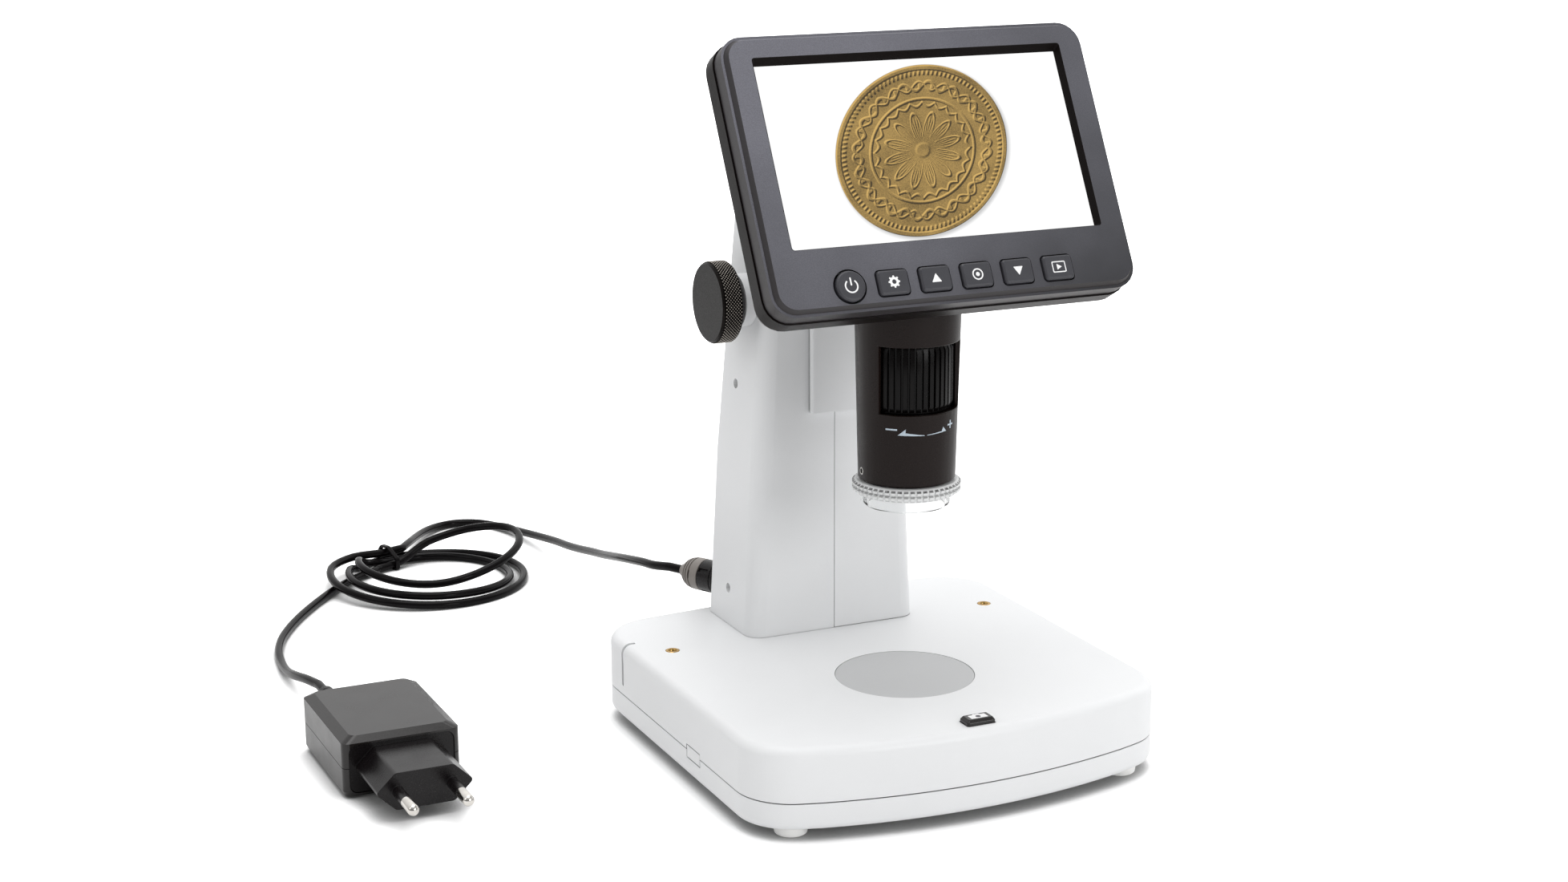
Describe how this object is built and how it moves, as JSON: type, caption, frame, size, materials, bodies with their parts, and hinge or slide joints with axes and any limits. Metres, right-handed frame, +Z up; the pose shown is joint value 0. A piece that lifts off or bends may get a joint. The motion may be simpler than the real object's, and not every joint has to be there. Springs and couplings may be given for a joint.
{
  "type": "lcd digital microscope",
  "caption": "Stand microscope with a tilted display over a zoom tube, a rack and pinion focus column, a lit stage and a plug-in supply on a coiled cord.",
  "frame": {"origin": "middle of the stand's footprint on the table, at the bottom of the feet", "axes": "+Z up, +X to the right of someone facing the display, +Y away from them, towards the column and the cord"},
  "size_m": [0.2645, 0.4088, 0.253],
  "materials": {
    "white_plastic": "satin",
    "foot_rubber": "matt",
    "steel": "brushed",
    "ballast_steel": "satin",
    "circuit_board": "satin",
    "stage_glass": "frosted",
    "led_board": "satin",
    "brass": "satin",
    "dark_part": "satin",
    "black_plastic": "satin",
    "key_plastic": "satin",
    "bezel_plastic": "satin",
    "screen_glass": "lit picture",
    "wheel_rubber": "ribbed",
    "dark_metal": "anodised",
    "lens_glass": "polished",
    "clear_plastic": "clear",
    "cord_rubber": "satin",
    "relief_rubber": "satin",
    "adapter_plastic": "fine texture",
    "nickel": "polished"
  },
  "bodies": {
    "base": {"base_top_shell": "white_plastic", "base_bottom_shell": "white_plastic", "feet": "foot_rubber", "base_screws": "steel", "ballast_plate": "ballast_steel", "base_board": "circuit_board", "stage_disc": "stage_glass", "stage_light": "led_board", "threaded_inserts": "brass", "card_socket": "steel", "dimmer_pot": "dark_part", "column_left_shell": "white_plastic", "column_right_shell": "white_plastic", "column_screws": "steel", "column_foot_plate": "ballast_steel", "rod_clamp": "dark_part", "guide_rods": "steel", "shaft_bushes": "brass", "dc_jack": "dark_part", "dc_plug": "cord_rubber", "plug_strain_relief": "relief_rubber", "power_cord_lead": "cord_rubber", "power_cord_coil": "cord_rubber", "cord_tie": "cord_rubber", "power_cord_tail": "cord_rubber", "adapter_strain_relief": "cord_rubber", "adapter_top": "adapter_plastic", "adapter_bottom": "adapter_plastic", "adapter_plug_block": "adapter_plastic", "adapter_pins": "nickel"},
    "drive": {"focus_shaft": "steel", "pinion": "brass", "knob_left": "black_plastic", "knob_right": "black_plastic"},
    "head": {"carriage_arm": "white_plastic", "slider_block": "dark_part", "rack": "brass", "head_screws": "steel", "display_frame": "bezel_plastic", "display_back": "black_plastic", "lcd_panel": "screen_glass", "display_board": "circuit_board", "head_housing": "black_plastic", "lens_tube": "black_plastic", "sensor_board": "circuit_board", "ring_light": "led_board"},
    "wheel": {"focus_wheel": "wheel_rubber"},
    "lens": {"lens_barrel": "dark_metal", "objective_lens": "lens_glass"},
    "cap": {"nose_cap": "clear_plastic"},
    "power_button": {"power_key": "key_plastic"},
    "menu_button": {"menu_key": "key_plastic"},
    "up_button": {"up_key": "key_plastic"},
    "select_button": {"select_key": "key_plastic"},
    "down_button": {"down_key": "key_plastic"},
    "mode_button": {"mode_key": "key_plastic"},
    "snapshot_button": {"snapshot_key": "key_plastic"},
    "dimmer": {"dimmer_wheel": "black_plastic"},
    "flap": {"port_flap": "white_plastic"}
  },
  "joints": [
    {"name": "head_slide", "type": "slide", "parent": "base", "child": "head", "axis": [0, 0, 1], "range_m": [-0.03, 0.015]},
    {"name": "knob_spin", "type": "hinge", "parent": "base", "child": "drive", "pos_m": [0, 0.0492, 0.154], "axis": [1, 0, 0], "range_deg": [-134.4, 268.7]},
    {"name": "wheel_spin", "type": "hinge", "parent": "head", "child": "wheel", "pos_m": [0, -0.021, 0.1395], "axis": [0, 0, 1], "range_deg": [-150, 150]},
    {"name": "lens_slide", "type": "slide", "parent": "head", "child": "lens", "axis": [0, 0, 1], "range_m": [-0.004, 0.004]},
    {"name": "cap_slide", "type": "slide", "parent": "head", "child": "cap", "axis": [0, 0, -1], "range_m": [0, 0.02]},
    {"name": "power_press", "type": "slide", "parent": "head", "child": "power_button", "axis": [0, 0.8829, -0.4695], "range_m": [0, 0.0008], "stiffness_N_per_m": 900},
    {"name": "menu_press", "type": "slide", "parent": "head", "child": "menu_button", "axis": [0, 0.8829, -0.4695], "range_m": [0, 0.0008], "stiffness_N_per_m": 900},
    {"name": "up_press", "type": "slide", "parent": "head", "child": "up_button", "axis": [0, 0.8829, -0.4695], "range_m": [0, 0.0008], "stiffness_N_per_m": 900},
    {"name": "select_press", "type": "slide", "parent": "head", "child": "select_button", "axis": [0, 0.8829, -0.4695], "range_m": [0, 0.0008], "stiffness_N_per_m": 900},
    {"name": "down_press", "type": "slide", "parent": "head", "child": "down_button", "axis": [0, 0.8829, -0.4695], "range_m": [0, 0.0008], "stiffness_N_per_m": 900},
    {"name": "mode_press", "type": "slide", "parent": "head", "child": "mode_button", "axis": [0, 0.8829, -0.4695], "range_m": [0, 0.0008], "stiffness_N_per_m": 900},
    {"name": "snapshot_press", "type": "slide", "parent": "base", "child": "snapshot_button", "axis": [0, 0, -1], "range_m": [0, 0.0008], "stiffness_N_per_m": 900},
    {"name": "dimmer_turn", "type": "hinge", "parent": "base", "child": "dimmer", "pos_m": [-0.0695, 0.0495, 0.022], "axis": [0, 1, 0], "range_deg": [-135, 135]},
    {"name": "flap_swing", "type": "hinge", "parent": "base", "child": "flap", "pos_m": [-0.0776, -0.0213, 0.0127], "axis": [0, 0, 1], "range_deg": [0, 100]}
  ],
  "couplings": [
    {"joint": "knob_spin", "follows": "head_slide", "rad_per_m": -156.25},
    {"joint": "lens_slide", "follows": "wheel_spin", "m_per_rad": 0.0015}
  ]
}
